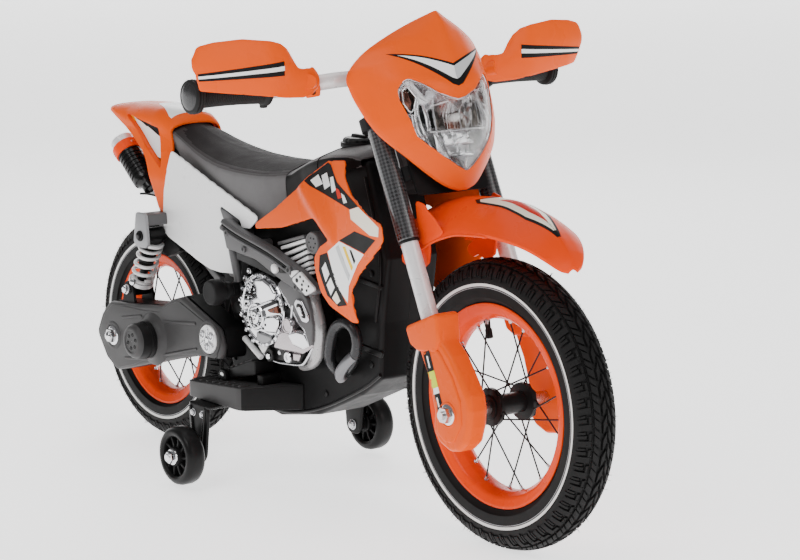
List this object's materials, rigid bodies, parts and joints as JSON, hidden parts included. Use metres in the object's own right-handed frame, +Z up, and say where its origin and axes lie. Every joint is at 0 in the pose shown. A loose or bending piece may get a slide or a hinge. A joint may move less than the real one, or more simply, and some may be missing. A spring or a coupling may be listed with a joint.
{
  "type": "kids electric motorbike",
  "caption": "Child's electric off-road style ride-on motorbike with spoked air tyres, sprung swingarm with geared drive, turning fork and side stabiliser wheels.",
  "frame": {"origin": "on the ground, in the middle of the machine's footprint", "axes": "+X forward, +Y to the rider's left, +Z up"},
  "size_m": [1.064, 0.6244, 0.6372],
  "materials": {
    "orange_plastic": "moulded, glossy",
    "white_plastic": "moulded, glossy",
    "black_plastic": "fine moulded grain",
    "seat_black": "leather-like moulded grain",
    "grey_plastic": "satin",
    "pipe_grey": "grey silver coating",
    "silencer_black": "ribbed, satin",
    "chrome_cover": "plated plastic",
    "frame_steel": "powder coated",
    "bracket_steel": "powder coated",
    "steel": "zinc plated",
    "fork_silver": "pale silver paint",
    "carbon_black": "woven pattern",
    "grip_black": "fine ribs",
    "tyre_rubber": "block tread with a pale wall line",
    "rim_orange": "gloss",
    "hub_black": "satin",
    "spoke_black": "satin",
    "clear_lens": "clear",
    "reflector_chrome": "faceted",
    "bulb_white": "frosted",
    "spring_chrome": "polished wire",
    "shock_black": "satin",
    "gear_nylon": "natural",
    "battery_case": "plain",
    "switch_black": "gloss"
  },
  "bodies": {
    "frame": {"main_frame": "frame_steel", "body_shell_right": "black_plastic", "body_shell_left": "black_plastic", "seat_base": "black_plastic", "engine_covers": "chrome_cover", "frame_rails": "grey_plastic", "exhaust_pipe": "pipe_grey", "silencer": "silencer_black", "tank_cover": "black_plastic", "tank_shrouds": "orange_plastic", "seat": "seat_black", "side_panels": "white_plastic", "charging_socket": "switch_black", "tail_cowl": "orange_plastic", "rear_mudguard": "black_plastic", "footboard_right": "black_plastic", "footboard_left": "black_plastic", "training_brackets": "bracket_steel", "battery": "battery_case", "controller": "battery_case", "pivot_shaft": "steel", "fasteners": "steel"},
    "steering": {"lower_clamp": "black_plastic", "upper_clamp": "black_plastic", "fork_tubes": "fork_silver", "fork_sleeves": "carbon_black", "fork_covers": "orange_plastic", "front_fender": "orange_plastic", "headlight_mask": "orange_plastic", "headlight_lens": "clear_lens", "headlight_reflector": "reflector_chrome", "headlight_bulb": "bulb_white", "fork_shield": "black_plastic", "handlebar": "fork_silver", "grips": "grip_black", "hand_guards": "orange_plastic", "front_axle": "steel"},
    "front_wheel": {"front_tyre": "tyre_rubber", "front_rim": "rim_orange", "front_hub": "hub_black", "front_spokes": "spoke_black"},
    "swingarm": {"swingarm_right": "black_plastic", "gearbox_cover": "black_plastic", "swingarm_left": "black_plastic", "drive_motor": "steel", "rear_axle": "steel"},
    "rear_wheel": {"rear_tyre": "tyre_rubber", "rear_rim": "rim_orange", "rear_hub": "hub_black", "rear_spokes": "spoke_black", "drive_gear": "gear_nylon"},
    "idler": {"idler_gear": "gear_nylon"},
    "pinion": {"motor_pinion": "steel"},
    "shock_upper": {"shock_cylinders": "shock_black", "shock_springs": "spring_chrome"},
    "shock_lower": {"shock_rods": "shock_black"},
    "training_wheel_r": {"training_wheel_right": "hub_black"},
    "training_wheel_l": {"training_wheel_left": "hub_black"},
    "pedal": {"accelerator_pedal": "black_plastic"},
    "rocker": {"power_switch": "switch_black"}
  },
  "joints": [
    {"name": "steering_turn", "type": "hinge", "parent": "frame", "child": "steering", "pos_m": [0.17763, 0, 0.45708], "axis": [-0.4216, 0, 0.9068], "range_deg": [-30, 30]},
    {"name": "front_wheel_spin", "type": "hinge", "parent": "steering", "child": "front_wheel", "pos_m": [0.355, 0, 0.177], "axis": [0, 1, 0], "continuous": true},
    {"name": "swingarm_pivot", "type": "hinge", "parent": "frame", "child": "swingarm", "pos_m": [-0.135, 0, 0.19], "axis": [0, 1, 0], "range_deg": [-1.5, 4], "stiffness_Nm_per_rad": 450, "springref_deg": -2.29, "deforming": ["shock_springs"]},
    {"name": "rear_wheel_spin", "type": "hinge", "parent": "swingarm", "child": "rear_wheel", "pos_m": [-0.375, 0, 0.157], "axis": [0, 1, 0], "continuous": true},
    {"name": "idler_spin", "type": "hinge", "parent": "swingarm", "child": "idler", "pos_m": [-0.31632, -0.08, 0.17022], "axis": [0, 1, 0], "continuous": true},
    {"name": "pinion_spin", "type": "hinge", "parent": "swingarm", "child": "pinion", "pos_m": [-0.2727, -0.08, 0.1686], "axis": [0, 1, 0], "continuous": true},
    {"name": "shock_upper_pivot", "type": "hinge", "parent": "frame", "child": "shock_upper", "pos_m": [-0.305, 0, 0.306], "axis": [0, 1, 0], "range_deg": [-1.5, 3.2]},
    {"name": "shock_lower_pivot", "type": "hinge", "parent": "swingarm", "child": "shock_lower", "pos_m": [-0.345, 0, 0.226], "axis": [0, 1, 0], "range_deg": [-1.5, 0.8]},
    {"name": "training_wheel_r_spin", "type": "hinge", "parent": "frame", "child": "training_wheel_r", "pos_m": [-0.118, -0.156, 0.0445], "axis": [0, 1, 0], "continuous": true},
    {"name": "training_wheel_l_spin", "type": "hinge", "parent": "frame", "child": "training_wheel_l", "pos_m": [-0.118, 0.156, 0.0445], "axis": [0, 1, 0], "continuous": true},
    {"name": "accelerator_press", "type": "hinge", "parent": "frame", "child": "pedal", "pos_m": [-0.125, -0.065, 0.142], "axis": [0, 1, 0], "range_deg": [0, 7], "stiffness_Nm_per_rad": 6, "springref_deg": -8.59},
    {"name": "drive_rocker", "type": "hinge", "parent": "frame", "child": "rocker", "pos_m": [0.01, 0.033, 0.16], "axis": [1, 0, 0], "range_deg": [-7, 7]}
  ],
  "couplings": [
    {"joint": "idler_spin", "follows": "rear_wheel_spin", "ratio": -0.81818},
    {"joint": "pinion_spin", "follows": "rear_wheel_spin", "ratio": 2.5714},
    {"joint": "shock_upper_pivot", "follows": "swingarm_pivot", "ratio": 0.715},
    {"joint": "shock_lower_pivot", "follows": "swingarm_pivot", "ratio": -0.285}
  ]
}
